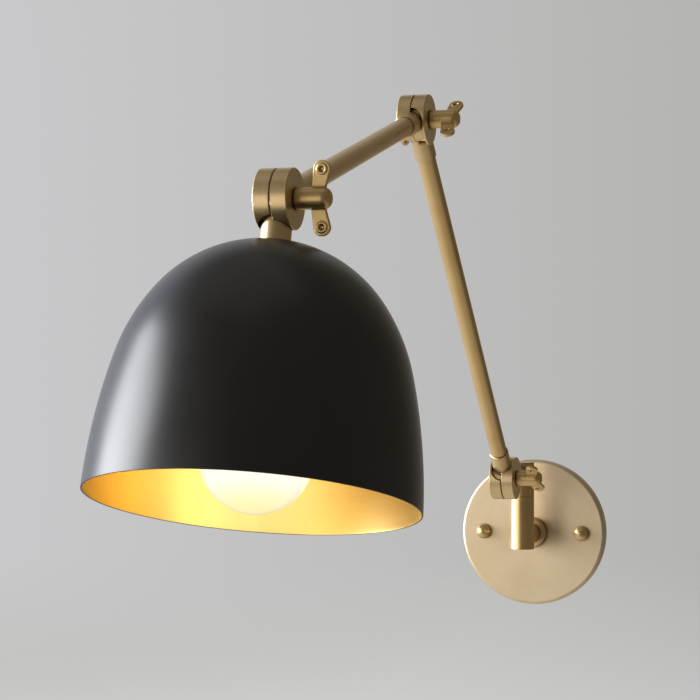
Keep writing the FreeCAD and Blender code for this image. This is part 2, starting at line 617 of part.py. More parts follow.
def makeShade():
    outer, outerRim = shadeOutline(0.0)
    inner, innerRim = shadeOutline(SHADE_WALL)
    axisLine = Part.makeLine(inner[0].Vertexes[0].Point, outer[0].Vertexes[0].Point)
    rimLine = Part.makeLine(outerRim, innerRim)
    wire = Part.Wire(Part.__sortEdges__(outer + [rimLine] + inner + [axisLine]))
    shell = Part.Face(wire).revolve(Vector(), UP, 360)
    shell = shell.cut(Part.makeCylinder(NIPPLE_RADIUS + SEATED_GAP, SHADE_SEAT + SHADE_HEIGHT))
    for k in range(VENT_COUNT):
        turn = math.radians(FIRST_VENT_DEG + 360 * k / VENT_COUNT)
        centre = Vector(VENT_CIRCLE * math.cos(turn), VENT_CIRCLE * math.sin(turn), SHADE_SEAT - SHADE_WALL)
        shell = shell.cut(Part.makeCylinder(VENT_RADIUS, 8 * SHADE_WALL, centre))
    save("shade", place(shell, shadePoint, shadeAxis))


def makeSocket():
    """Hollow nipple, its nuts, the brass cup, the insulating body and the contacts."""
    nutTop = SHADE_SEAT + SHADE_WALL
    cupTop = nutTop + SHADE_NUT_HEIGHT
    cupFloor = cupTop + SOCKET_CUP_WALL
    nippleStart = SHADE_SEAT - SHADE_NIPPLE_SEAT
    nippleEnd = cupFloor + CUP_NUT_HEIGHT + THREAD_REACH
    nippleHole = NIPPLE_RADIUS + SEATED_GAP
    save("shade_nipple", pipe(NIPPLE_RADIUS, NIPPLE_BORE, nippleEnd - nippleStart,
                              alongShade(nippleStart), shadeAxis))
    save("shade_locknut", nut(SHADE_NUT_FLATS, SHADE_NUT_HEIGHT, nippleHole,
                              alongShade(nutTop), shadeAxis))

    cup = cylinder(SOCKET_CUP_RADIUS, SOCKET_CUP_HEIGHT, alongShade(cupTop), shadeAxis)
    cup = cup.makeFillet(SOCKET_CUP_ROUND, circleEdges(cup, SOCKET_CUP_RADIUS, alongShade(cupTop), shadeAxis))
    innerRadius = SOCKET_CUP_RADIUS - SOCKET_CUP_WALL
    hollow = cylinder(innerRadius, SOCKET_CUP_HEIGHT, alongShade(cupFloor), shadeAxis)
    hollow = hollow.makeFillet(SOCKET_CUP_ROUND - SOCKET_CUP_WALL,
                               circleEdges(hollow, innerRadius, alongShade(cupFloor), shadeAxis))
    cup = cup.cut(hollow).cut(cylinder(nippleHole, SOCKET_CUP_HEIGHT, alongShade(nutTop), shadeAxis))
    save("socket_cup", cup)
    save("socket_cup_nut", nut(SHADE_NUT_FLATS, CUP_NUT_HEIGHT, nippleHole, alongShade(cupFloor), shadeAxis))

    bodyTop = cupTop + SOCKET_BODY_TOP
    bodyRadius = innerRadius - SEATED_GAP
    body = cylinder(bodyRadius, SOCKET_BODY_HEIGHT, alongShade(bodyTop), shadeAxis)
    wellDepth = SOCKET_BODY_HEIGHT - SOCKET_FLOOR
    shellTop = bodyTop + SOCKET_FLOOR
    body = body.cut(cylinder(SHELL_RADIUS + SEATED_GAP, wellDepth, alongShade(shellTop), shadeAxis))
    save("socket_body", body)
    save("socket_screw_shell", pipe(SHELL_RADIUS, SHELL_RADIUS - SHELL_WALL, wellDepth - THREAD_REACH,
                                    alongShade(shellTop), shadeAxis))
    save("socket_contact", cylinder(CONTACT_RADIUS, CONTACT_HEIGHT, alongShade(shellTop), shadeAxis))
    return shellTop + CONTACT_HEIGHT


def makeBulb(tipDepth):
    """Screw-base globe bulb; its tip rests on the socket's contact."""
    insulatorDepth = tipDepth + BULB_TIP_HEIGHT
    baseDepth = insulatorDepth + BULB_INSULATOR_HEIGHT
    save("bulb_contact_tip", Part.makeCone(BULB_TIP_RADIUS * 0.7, BULB_TIP_RADIUS, BULB_TIP_HEIGHT,
                                           alongShade(tipDepth), shadeAxis))
    save("bulb_insulator", Part.makeCone(BULB_INSULATOR_TOP, BULB_BASE_RADIUS - 2 * SHELL_WALL,
                                         BULB_INSULATOR_HEIGHT, alongShade(insulatorDepth), shadeAxis))
    baseEnd = baseDepth + BULB_BASE_HEIGHT
    save("bulb_screw_base", pipe(BULB_BASE_RADIUS, BULB_BASE_RADIUS - SHELL_WALL, BULB_BASE_HEIGHT,
                                 alongShade(baseDepth), shadeAxis))

    globe = globeSolid(baseEnd, 0.0).cut(globeSolid(baseEnd, BULB_WALL))
    save("bulb_globe", place(globe, shadePoint, shadeAxis))


def globeSolid(neckDepth, inset):
    """Round globe that draws in to a neck; the inset gives the space inside the glass."""
    join = math.radians(BULB_JOIN_DEG)
    radius = BULB_RADIUS - inset
    tangent = Vector(math.cos(join), 0, math.sin(join)) * BULB_SKIRT_LENGTH

    def onGlobe(turn):
        return Vector(radius * math.sin(turn), 0, BULB_CENTRE - radius * math.cos(turn))

    neckCentre = Vector(0, 0, neckDepth + inset)
    neckEdge = neckCentre + ALONG_X * (BULB_NECK_RADIUS - inset)
    flank = Part.BezierCurve()
    flank.setPoles([neckEdge, neckEdge + UP * BULB_SKIRT_LENGTH, onGlobe(join) - tangent, onGlobe(join)])
    bottom = onGlobe(math.pi)
    globeArc = Part.Arc(onGlobe(join), onGlobe((join + math.pi) / 2), bottom)
    outline = Part.Wire([Part.makeLine(neckCentre, neckEdge), flank.toShape(), globeArc.toShape(),
                         Part.makeLine(bottom, neckCentre)])
    return Part.Face(outline).revolve(Vector(), UP, 360)


# ================================================================= build
armNeck = (ARM_NECK_RADIUS, NECK_LENGTH)
shadeNeck = (SHADE_NECK_RADIUS, SHADE_SEAT)

makeCanopy()
makeCrossbar()
makeStuds()
makeStub()
makePost()
makeKnuckle("base", basePoint, "head_knuckle", 180.0, "lower_arm_base_knuckle", LOWER_ARM_ANGLE,
            False, BASE_TRAVEL, armNeck, WING_TURN_BASE)
makeKnuckle("elbow", elbowPoint, "upper_arm_elbow_knuckle", UPPER_ARM_ANGLE,
            "lower_arm_elbow_knuckle", LOWER_ARM_ANGLE - 180.0, True, ELBOW_TRAVEL, armNeck, WING_TURN_ELBOW)
makeKnuckle("shade", shadePoint, "upper_arm_shade_knuckle", UPPER_ARM_ANGLE - 180.0,
            "shade_knuckle", SHADE_ANGLE, False, SHADE_TRAVEL, shadeNeck, WING_TURN_SHADE)
makeArm("lower_arm", basePoint, elbowPoint)
makeArm("upper_arm", elbowPoint, shadePoint)
makeShade()
makeBulb(makeSocket())
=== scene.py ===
import json
import math
import bmesh
import bpy
from mathutils import Euler, Matrix, Vector

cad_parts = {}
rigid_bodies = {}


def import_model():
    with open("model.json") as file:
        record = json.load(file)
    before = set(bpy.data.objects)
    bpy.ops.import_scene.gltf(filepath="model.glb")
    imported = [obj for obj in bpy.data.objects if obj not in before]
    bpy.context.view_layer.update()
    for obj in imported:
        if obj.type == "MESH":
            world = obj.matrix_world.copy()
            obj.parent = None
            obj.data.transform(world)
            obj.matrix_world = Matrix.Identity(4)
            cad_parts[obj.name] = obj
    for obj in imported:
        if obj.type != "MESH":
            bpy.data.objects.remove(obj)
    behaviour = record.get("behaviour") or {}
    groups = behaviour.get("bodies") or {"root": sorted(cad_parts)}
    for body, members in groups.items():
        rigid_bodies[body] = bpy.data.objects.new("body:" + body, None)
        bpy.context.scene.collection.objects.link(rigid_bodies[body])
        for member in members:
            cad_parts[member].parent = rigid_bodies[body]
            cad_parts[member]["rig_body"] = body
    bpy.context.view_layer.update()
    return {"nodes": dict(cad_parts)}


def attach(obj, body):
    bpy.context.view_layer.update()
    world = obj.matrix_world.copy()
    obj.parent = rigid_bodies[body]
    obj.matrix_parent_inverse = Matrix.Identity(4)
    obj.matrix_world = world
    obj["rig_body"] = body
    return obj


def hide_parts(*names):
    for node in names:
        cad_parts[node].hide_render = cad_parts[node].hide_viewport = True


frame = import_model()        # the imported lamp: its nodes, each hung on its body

scene = bpy.context.scene
mm = 0.001
print("lamp frame loaded,", len(frame["nodes"]), "nodes")

# where things are: the canopy's back is y = 0, the lamp stands out towards -y, and x runs along the
# hinges; sizes here and below are in mm unless a note says otherwise, angles in degrees
layout = {
    "postFromWall": 54.2,
    "postToBase": 62.3,
    "baseHeight": 51.2,
    "lowerArmLength": 368.0,
    "lowerArmTilt": 43.1,    # above the horizontal, as the other two
    "upperArmLength": 290.2,
    "upperArmTilt": -14.6,
    "shadeTilt": -75.0,
}


def leaning(degrees):
    # direction in the arms' plane, tilted up from straight out of the canopy
    return Vector((0, -math.cos(math.radians(degrees)), math.sin(math.radians(degrees))))


outwards = Vector((0, -1, 0))
upwards = Vector((0, 0, 1))
sideways = Vector((1, 0, 0))
lowerArmAxis = leaning(layout["lowerArmTilt"])
upperArmAxis = leaning(layout["upperArmTilt"])
shadeAxis = leaning(layout["shadeTilt"])
canopyBack = Vector((0, 0, 0))
postFoot = outwards * layout["postFromWall"]
baseHinge = Vector((0, -layout["postFromWall"] - layout["postToBase"], layout["baseHeight"]))
elbowHinge = baseHinge + lowerArmAxis * layout["lowerArmLength"]
shadeHinge = elbowHinge + upperArmAxis * layout["upperArmLength"]


def standing(start, axis):
    # a shape turned about z at the origin, in mm, is stood on start along axis, in metres
    turn = upwards.rotation_difference(axis).to_matrix().to_4x4()
    return Matrix.Scale(mm, 4) @ Matrix.Translation(start) @ turn


def hexColour(code):
    # sRGB hex to the linear colour that the shaders want
    def channel(value):
        value /= 255
        return value / 12.92 if value <= 0.04045 else ((value + 0.055) / 1.055) ** 2.4
    return [channel(int(code[i:i + 2], 16)) for i in (1, 3, 5)] + [1.0]


def addNode(tree, kind, settings, links=None):
    # settings go to the node's own options where it has them, else to its sockets
    node = tree.nodes.new("ShaderNode" + kind)
    for key, value in settings.items():
        if isinstance(key, str) and hasattr(node, key):
            setattr(node, key, value)
        else:
            node.inputs[key].default_value = value
    for socket, source in (links or {}).items():
        tree.links.new(source, node.inputs[socket])
    return node


def newMaterial(name):
    material = bpy.data.materials.new(name)
    material.use_nodes = True
    tree = material.node_tree
    tree.nodes.clear()
    return material, tree, addNode(tree, "OutputMaterial", {})


noiseMiddle = (0.3, 0.7)     # a noise seldom leaves these values
noises = {
    # how many finer layers, and how strongly they show; the coordinates give the size
    "brushGrain": {"Scale": 1.0, "Detail": 2.0, "Roughness": 0.55},
    "toolRings": {"Scale": 1.0, "Detail": 2.0, "Roughness": 0.5},
    "mottle": {"Scale": 1.0, "Detail": 3.0, "Roughness": 0.6},
    "clouds": {"Scale": 1.0, "Detail": 4.0, "Roughness": 0.6},
    "orangePeel": {"Scale": 1.0, "Detail": 1.5, "Roughness": 0.4},
}
ringDrift = 0.6              # how far a ring's tone wanders on its way round, in grain widths
plainRelief = 0.4            # strength of the bump on plated, dyed and moulded surfaces


def rampColours(tree, factor, stops):
    # stops: position and colour, in order; the ramp starts with two elements of its own
    ramp = addNode(tree, "ValToRGB", {}, {"Fac": factor})
    elements = ramp.color_ramp.elements
    for _ in stops[2:]:
        elements.new(0.5)
    for element, (position, colour) in zip(elements, stops):
        element.position = position
        element.color = hexColour(colour)
    return ramp.outputs["Color"]


def blendColours(tree, factor, first, second):
    return rampColours(tree, factor, [(noiseMiddle[0], first), (noiseMiddle[1], second)])


def lathePattern(tree, start, axis, scaleMm):
    # coordinates whose z runs along the piece's own axis, in units of scaleMm
    turn = upwards.rotation_difference(axis).to_euler()
    place = addNode(tree, "TexCoord", {})
    return addNode(tree, "Mapping", {"vector_type": "TEXTURE", "Location": start * mm, "Rotation": turn,
                                     "Scale": [value * mm for value in scaleMm]},
                   {"Vector": place.outputs["Object"]}).outputs["Vector"]


def ringPattern(tree, along):
    # the same radius and height give nearly the same value, so a noise on this draws tool rings
    flat = addNode(tree, "VectorMath", {"operation": "MULTIPLY", 1: (1, 1, 0)}, {0: along})
    radius = addNode(tree, "VectorMath", {"operation": "LENGTH"}, {0: flat.outputs["Vector"]})
    around = addNode(tree, "VectorMath", {"operation": "NORMALIZE"}, {0: flat.outputs["Vector"]})
    split = addNode(tree, "SeparateXYZ", {}, {0: along})
    rings = addNode(tree, "CombineXYZ", {}, {"X": radius.outputs["Value"], "Z": split.outputs["Z"]})
    drift = addNode(tree, "VectorMath", {"operation": "SCALE", "Scale": ringDrift},
                    {0: around.outputs["Vector"]})
    return addNode(tree, "VectorMath", {"operation": "ADD"},
                   {0: rings.outputs["Vector"], 1: drift.outputs["Vector"]}).outputs["Vector"]


def solidFinish(tree, output, colour, roughness, gloss, relief, depth, strength, settings):
    # roughness runs between its two values after the gloss pattern, and the bump, depth mm deep,
    # follows the relief pattern
    rough = addNode(tree, "MapRange", {"From Min": noiseMiddle[0], "From Max": noiseMiddle[1],
                                       "To Min": roughness[0], "To Max": roughness[1]}, {"Value": gloss})
    bump = addNode(tree, "Bump", {"Strength": strength, "Distance": depth * mm}, {"Height": relief})
    shader = addNode(tree, "BsdfPrincipled", settings,
                     {"Base Color": colour, "Roughness": rough.outputs["Result"],
                      "Normal": bump.outputs["Normal"]})
    tree.links.new(shader.outputs[0], output.inputs["Surface"])


# Satin brass: turned, drawn or cast, then brushed and lacquered. It gives the eye a warm
# pale yellow metal with soft edged highlights; crevices, holes and seams are browned as
# painted shade, partly as tarnish.
brassLook = {
    # light and dark tone, and low and high roughness, for each way it is made
    "turned": ("#E3CA9F", "#D1B584", 0.30, 0.37),
    "drawn": ("#E4C896", "#D2B27C", 0.30, 0.38),
    "cast": ("#E4C894", "#CFB07A", 0.34, 0.44),
    # painted light: the ball nuts' brass is a paler, lit copy of the cast brass
    "litPaleCast": ("#E6D0A2", "#D4BA86", 0.34, 0.42),
    # painted light: the canopy's face is a paler, lit copy of the brass
    "faced": ("#EDDCC0", "#E0CBA8", 0.42, 0.48),     # the canopy's wide flat face, turned and paler
    "grainWidth": 0.45,      # mm; real brush lines are 0.05 mm, drawn coarse enough to show
    "grainLength": 26.0,     # mm
    "castGrain": 0.9,        # mm
    "lineDepth": 0.012,      # mm
    "lineStrength": 0.22,
    "tarnishSize": 38.0,     # mm across one cloud of tarnish
    "tarnishShare": 0.65,    # of the tone; the grain gives the rest
    # painted shade, partly tarnish: the brown that crevices, holes and seams turn towards
    "creviceShadeAndTarnish": "#4E3A20",
    "creviceReach": 2.5,     # mm
    "creviceOpenness": (0.35, 0.95),     # fully brown below the first, clean above the second
    "creviceSamples": 8,
}


def satinBrass(name, start, axis, lay):
    # turned pieces and the canopy's face have rings about the axis, drawn ones lines along it, the rest an
    # even grain
    look = brassLook
    light, dark, lowRough, highRough = look[lay]
    material, tree, output = newMaterial(name)
    width = look["grainWidth"]
    if lay == "drawn":
        grainSpace = lathePattern(tree, start, axis, (width, width, look["grainLength"]))
    elif lay in ("turned", "faced"):
        grainSpace = ringPattern(tree, lathePattern(tree, start, axis, [width] * 3))
    else:
        grainSpace = lathePattern(tree, start, axis, [look["castGrain"]] * 3)
    grain = addNode(tree, "TexNoise", noises["brushGrain"], {"Vector": grainSpace}).outputs["Fac"]
    tarnishSpace = lathePattern(tree, start, axis, [look["tarnishSize"]] * 3)
    tarnish = addNode(tree, "TexNoise", noises["mottle"], {"Vector": tarnishSpace}).outputs["Fac"]
    clouded = addNode(tree, "Math", {"operation": "MULTIPLY", 1: look["tarnishShare"]}, {0: tarnish})
    tone = addNode(tree, "Math", {"operation": "MULTIPLY_ADD", 1: 1 - look["tarnishShare"]},
                   {0: grain, 2: clouded.outputs["Value"]}).outputs["Value"]
    # painted shade, partly tarnish: ambient occlusion turns the tone brown in crevices, holes and seams
    around = addNode(tree, "AmbientOcclusion", {"samples": look["creviceSamples"],
                                                "Distance": look["creviceReach"] * mm})
    creviceShade = addNode(tree, "MapRange", {"From Min": look["creviceOpenness"][0],
                                        "From Max": look["creviceOpenness"][1],
                                        "To Min": 1.0, "To Max": 0.0}, {"Value": around.outputs["AO"]})
    shadedInCrevices = addNode(tree, "Mix", {"data_type": "RGBA", 7: hexColour(look["creviceShadeAndTarnish"])},
                   {0: creviceShade.outputs["Result"], 6: blendColours(tree, tone, dark, light)})
    solidFinish(tree, output, shadedInCrevices.outputs[2], (lowRough, highRough), tone, grain, look["lineDepth"],
                look["lineStrength"], {"Metallic": 1.0})
    return material


def evenFinish(name, light, dark, grainSize, roughness, metallic, depth, ior=None):
    # a moulded, plated or dyed surface: two close tones in a fine grain and a faint relief, both in mm
    material, tree, output = newMaterial(name)
    space = lathePattern(tree, canopyBack, upwards, [grainSize] * 3)
    grain = addNode(tree, "TexNoise", noises["mottle"], {"Vector": space}).outputs["Fac"]
    settings = {"Metallic": metallic}
    if ior:
        settings["IOR"] = ior
    solidFinish(tree, output, blendColours(tree, grain, dark, light), roughness, grain, grain, depth,
                plainRelief, settings)
    return material


# zinc plated steel stampings and nuts: grey with a cold spangle
zincSteel = evenFinish("zincPlatedSteel", "#B9BCC0", "#9A9EA6", 2.2, (0.3, 0.46), 1.0, 0.02)
# nickel plated brass shell of the bulb's base: brighter and smoother than the zinc
nickelShell = evenFinish("nickelPlatedShell", "#C9C6BF", "#B2AEA6", 1.5, (0.2, 0.3), 1.0, 0.01)
# dyed zinc on the steel earth screw: a cool green metal
greenScrew = evenFinish("greenDyedSteel", "#3F7D4E", "#2C6039", 1.2, (0.32, 0.42), 0.6, 0.02, 1.5)
# vulcanised fibre washers: matt dark red-brown board
fibreBoard = evenFinish("vulcanisedFibre", "#4A2F26", "#38231C", 0.8, (0.6, 0.75), 0.0, 0.05, 1.5)
# extruded PVC sheath of the leads, black and slightly waxy
leadSheath = evenFinish("extrudedPvcSheath", "#26262A", "#1D1D20", 3.0, (0.4, 0.5), 0.0, 0.02, 1.53)
# compression moulded phenolic: near black, faintly mottled, semi gloss
phenolic = evenFinish("mouldedPhenolic", "#231C18", "#15110F", 2.5, (0.3, 0.42), 0.0, 0.02, 1.6)
# fired black glass round the bulb's tip: glossy and near black
blackGlass = evenFinish("firedBlackGlass", "#141416", "#0C0C0D", 2.0, (0.08, 0.14), 0.0, 0.005, 1.52)
# gold lacquer worn and browned on the cut edge of the shade's rim
rimLip = evenFinish("brownedLacquerEdge", "#7A5630", "#5E3F20", 3.0, (0.4, 0.5), 1.0, 0.01)

enamelLook = {
    "light": "#121213",
    "dark": "#0D0D0E",
    "roughness": (0.29, 0.33),
    "peelSize": 1.4,         # mm across one orange-peel bump of sprayed enamel
    "peelDepth": 0.012,      # mm
    "peelStrength": 0.3,
    "cloudSize": 60.0,       # mm
    "specular": 0.6,
}


def sprayedEnamel():
    # satin black stoving enamel sprayed on spun metal: deep black with broad blurred lights
    # and a barely seen orange peel
    look = enamelLook
    material, tree, output = newMaterial("satinBlackEnamel")
    cloudSpace = lathePattern(tree, shadeHinge, shadeAxis, [look["cloudSize"]] * 3)
    clouds = addNode(tree, "TexNoise", noises["clouds"], {"Vector": cloudSpace}).outputs["Fac"]
    peelSpace = lathePattern(tree, shadeHinge, shadeAxis, [look["peelSize"]] * 3)
    peel = addNode(tree, "TexNoise", noises["orangePeel"], {"Vector": peelSpace}).outputs["Fac"]
    solidFinish(tree, output, blendColours(tree, clouds, look["dark"], look["light"]), look["roughness"],
                clouds, peel, look["peelDepth"], look["peelStrength"],
                {"Specular IOR Level": look["specular"]})
    return material


goldLook = {
    "light": "#FBE290",
    "dark": "#FADE8B",
    "roughness": (0.28, 0.30),
    "lacquer": 1.0,          # how fully the clear lacquer covers the metal
    "lacquerRoughness": 0.36,
    "ringWidth": 0.8,        # mm between the spinning tool's lines, drawn coarser than life
    "ringDepth": 0.003,      # mm
    "ringStrength": 0.12,
}


def spunGold():
    # gold lacquered inside of the spun shade: satin yellow metal with faint tool rings, and the
    # clear lacquer's own pale shine where the bulb is mirrored
    look = goldLook
    material, tree, output = newMaterial("goldLacqueredSpinning")
    ringSpace = ringPattern(tree, lathePattern(tree, shadeHinge, shadeAxis, [look["ringWidth"]] * 3))
    rings = addNode(tree, "TexNoise", noises["toolRings"], {"Vector": ringSpace}).outputs["Fac"]
    solidFinish(tree, output, blendColours(tree, rings, look["dark"], look["light"]), look["roughness"],
                rings, rings, look["ringDepth"], look["ringStrength"],
                {"Metallic": 1.0, "Coat Weight": look["lacquer"],
                 "Coat Roughness": look["lacquerRoughness"]})
    return material


glowLook = {
    "crown": "#FFFFFA",
    "foot": "#FFF8BE",
    "crownStrength": 1.2,
    "footStrength": 1.08,
    "reach": 30.0,           # mm from the globe's middle to its foot
    "fade": (0.25, 1.15),    # where crown turns to foot, in reaches below the middle
}


def litPowder(globeCentre):
    # electrostatic silica powder lit from inside: white by the socket, yellower at its foot
    look = glowLook
    material, tree, output = newMaterial("litSilicaPowder")
    place = lathePattern(tree, globeCentre, shadeAxis, [look["reach"]] * 3)
    height = addNode(tree, "SeparateXYZ", {}, {0: place})
    towardsFoot = addNode(tree, "MapRange", {"From Min": look["fade"][0], "From Max": look["fade"][1]},
                          {"Value": height.outputs["Z"]}).outputs["Result"]
    colour = blendColours(tree, towardsFoot, look["crown"], look["foot"])
    strength = addNode(tree, "MapRange", {"To Min": look["crownStrength"], "To Max": look["footStrength"]},
                       {"Value": towardsFoot})
    shader = addNode(tree, "Emission", {}, {"Color": colour, "Strength": strength.outputs["Result"]})
    tree.links.new(shader.outputs[0], output.inputs["Surface"])
    return material


glassLook = {"colour": "#FFF8EA", "ior": 1.5, "roughness": 0.06}


def blownGlass():
    # thin blown soda glass of the bulb: a clear skin that only shows as a line round the globe
    material, tree, output = newMaterial("blownSodaGlass")
    shader = addNode(tree, "BsdfPrincipled", {"Base Color": hexColour(glassLook["colour"]),
                                              "Transmission Weight": 1.0, "IOR": glassLook["ior"],
                                              "Roughness": glassLook["roughness"]})
    tree.links.new(shader.outputs[0], output.inputs["Surface"])
    return material


def turned(profile, steps=96, closed=False):
    # spins a line of (radius, height) about z; closed joins its last point to its first
    bm = bmesh.new()
    points = [bm.verts.new((radius, 0, height)) for radius, height in profile]
    pairs = list(zip(points, points[1:])) + ([(points[-1], points[0])] if closed else [])
    edges = [bm.edges.new(pair) for pair in pairs]
    bmesh.ops.spin(bm, geom=points + edges, cent=(0, 0, 0), axis=(0, 0, 1), angle=2 * math.pi,
                   steps=steps, use_merge=True, use_duplicate=False)
    bmesh.ops.remove_doubles(bm, verts=bm.verts, dist=1e-4)
    bmesh.ops.recalc_face_normals(bm, faces=bm.faces)
    return bm


def soften(bm, width, segments=2, sharp=30):
    # rounds every edge that turns by more than sharp degrees, as handling and tumbling do
    edges = [e for e in bm.edges if len(e.link_faces) == 2 and e.calc_face_angle() > math.radians(sharp)]
    bmesh.ops.bevel(bm, geom=edges, offset=width, offset_type="OFFSET", affect="EDGES",
                    segments=segments, profile=0.5, material=-1, clamp_overlap=True)


def arc(centre, radius, fromDegrees, toDegrees, steps):
    # points of an arc in the profile plane; the angle runs from the top end of the axis
    points = []
    for step in range(steps + 1):
        turn = math.radians(fromDegrees + (toDegrees - fromDegrees) * step / steps)
        points.append((centre[0] + radius * math.sin(turn), centre[1] - radius * math.cos(turn)))
    return points


def newObject(bm, name):
    # hands the shape over to an object of its own
    mesh = bpy.data.meshes.new(name)
    bm.to_mesh(mesh)
    bm.free()
    made = bpy.data.objects.new(name, mesh)
    scene.collection.objects.link(made)
    return made


def throughModifier(bm, kind, settings):
    # gives back what a modifier makes of the shape
    blank = newObject(bm, "blank")
    modifier = blank.modifiers.new("change", kind)
    for key, value in settings.items():
        setattr(modifier, key, value)
    bpy.context.view_layer.update()
    made = bpy.data.meshes.new_from_object(blank.evaluated_get(bpy.context.evaluated_depsgraph_get()))
    result = bmesh.new()
    result.from_mesh(made)
    bpy.data.meshes.remove(blank.data)
    bpy.data.meshes.remove(made)
    return result


def finishPiece(bm, name, nodes, place, materials, sharp=35):
    # puts the mesh in its place in metres, shades it, and lets it ride on its node's body
    bm.transform(place)
    for face in bm.faces:
        face.smooth = True
    for edge in bm.edges:
        edge.smooth = len(edge.link_faces) == 2 and edge.calc_face_angle() < math.radians(sharp)
    piece = newObject(bm, name)
    for material in materials:
        piece.data.materials.append(material)
    even = piece.modifiers.new("evenShading", "WEIGHTED_NORMAL")
    even.keep_sharp = True
    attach(piece, frame["nodes"][nodes[0]]["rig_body"])
    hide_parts(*nodes)
    return piece


merging = {"apart": 2e-6, "flatWithin": 0.8}     # metres, degrees


def nodeCopy(node):
    # a merged copy of a CAD node, in mm
    bm = bmesh.new()
    bm.from_mesh(frame["nodes"][node].data)
    bmesh.ops.remove_doubles(bm, verts=bm.verts, dist=merging["apart"])
    bmesh.ops.dissolve_limit(bm, angle_limit=math.radians(merging["flatWithin"]), verts=bm.verts,
                             edges=bm.edges, use_dissolve_boundaries=False)
    bm.transform(Matrix.Scale(1 / mm, 4))
    return bm


def softenedNode(node, name, width, material, segments=2):
    bm = nodeCopy(node)
    soften(bm, width, segments)
    return finishPiece(bm, name, [node], Matrix.Scale(mm, 4), [material])


def pieceName(node):
    words = node.split("_")
    return words[0] + "".join(word.capitalize() for word in words[1:])


canopy = {
    "radius": 60.3,
    "depth": 11.0,
    "wall": 1.2,
    "edgeRound": 2.4,
    "edgeSteps": 8,
    "faceRings": (0, 20, 40),    # extra rings keep the flat face's shading even
    "turnSteps": 160,
    "studSpacing": 82.6,
}


def canopyPlate():
    # a shallow round pan, open at its back
    edgeCentre = (canopy["radius"] - canopy["edgeRound"], canopy["depth"] - canopy["edgeRound"])
    innerDepth = canopy["depth"] - canopy["wall"]
    outside = [(canopy["radius"], 0)]
    outside += arc(edgeCentre, canopy["edgeRound"], 90, 180, canopy["edgeSteps"])
    outside += [(radius, canopy["depth"]) for radius in canopy["faceRings"][::-1]]
    inside = [(radius, innerDepth) for radius in canopy["faceRings"]]
    inside += arc(edgeCentre, canopy["edgeRound"] - canopy["wall"], 180, 90, canopy["edgeSteps"])
    inside += [(canopy["radius"] - canopy["wall"], 0)]
    return turned(outside + inside, canopy["turnSteps"], closed=True)


faceBrass = satinBrass("satinBrassCanopy", canopyBack, outwards, "faced")
finishPiece(canopyPlate(), "canopyPlate", ["canopy_plate"], standing(canopyBack, outwards), [faceBrass])

capNut = {
    "radius": 5.8,
    "seatRadius": 4.4,
    "footRadius": 4.75,
    "footHeight": 0.55,
    "footEnd": 8.0,          # degrees past the seat, where the ball leaves the foot
    "steps": 20,
    "turnSteps": 48,
    "edge": 0.12,
    "sharpFrom": 40,         # degrees; only edges above it are rounded
}


def ballNuts():
    # a ball with a small turned foot where it meets the plate
    rise = math.sqrt(capNut["radius"] ** 2 - capNut["seatRadius"] ** 2)
    seatDegrees = math.degrees(math.asin(capNut["seatRadius"] / capNut["radius"]))
    ball = arc((0, rise), capNut["radius"], seatDegrees + capNut["footEnd"], 180, capNut["steps"])
    foot = [(0, 0), (capNut["footRadius"], 0), (capNut["footRadius"], capNut["footHeight"])]
    both = bmesh.new()
    for side in (-1, 1):
        one = turned(foot + ball[:-1] + [(0, rise + capNut["radius"])], capNut["turnSteps"])
        soften(one, capNut["edge"], sharp=capNut["sharpFrom"])
        one.transform(standing(Vector((side * canopy["studSpacing"] / 2, -canopy["depth"], 0)), outwards))
        mesh = bpy.data.meshes.new("ball")
        one.to_mesh(mesh)
        one.free()
        both.from_mesh(mesh)
        bpy.data.meshes.remove(mesh)
    return both


nutBrass = satinBrass("satinBrassBallNuts", canopyBack, outwards, "litPaleCast")
finishPiece(ballNuts(), "capNuts", ["cap_nuts"], Matrix.Identity(4), [nutBrass])

canopyHardware = {
    # node: name of its piece, width of its rounded edges in mm
    "crossbar_box_strap": ("boxStrap", 0.2),
    "crossbar_stud_strap": ("studStrap", 0.2),
    "crossbar_eyelet": ("crossbarEyelet", 0.12),
    "stud_nuts": ("studNuts", 0.25),
    "nipple_washer": ("nippleWasher", 0.12),
    "nipple_locknut": ("nippleLocknut", 0.3),
}
for node, (name, width) in canopyHardware.items():
    softenedNode(node, name, width, zincSteel)
softenedNode("ground_screw", "groundScrew", 0.2, greenScrew)
print("canopy done")

postBrass = satinBrass("satinBrassPost", postFoot, upwards, "drawn")
stubBrass = satinBrass("satinBrassStub", canopyBack, outwards, "turned")
capBrass = satinBrass("satinBrassPostCap", postFoot, upwards, "turned")
headBrass = satinBrass("satinBrassHeadTube", postFoot + upwards * layout["baseHeight"], outwards, "drawn")
postParts = {
    # node: width of its rounded edges in mm, brass
    "canopy_collar": (0.2, stubBrass),
    "stub_sleeve": (0.15, stubBrass),
    "post_lower": (0.25, postBrass),
    "post_upper": (0.25, postBrass),
    "post_cap": (0.25, capBrass),
    "head_tube": (0.15, headBrass),
    "swivel_washer": (0.1, postBrass),
}
for node, (width, brass) in postParts.items():
    softenedNode(node, pieceName(node), width, brass)
print("post done")

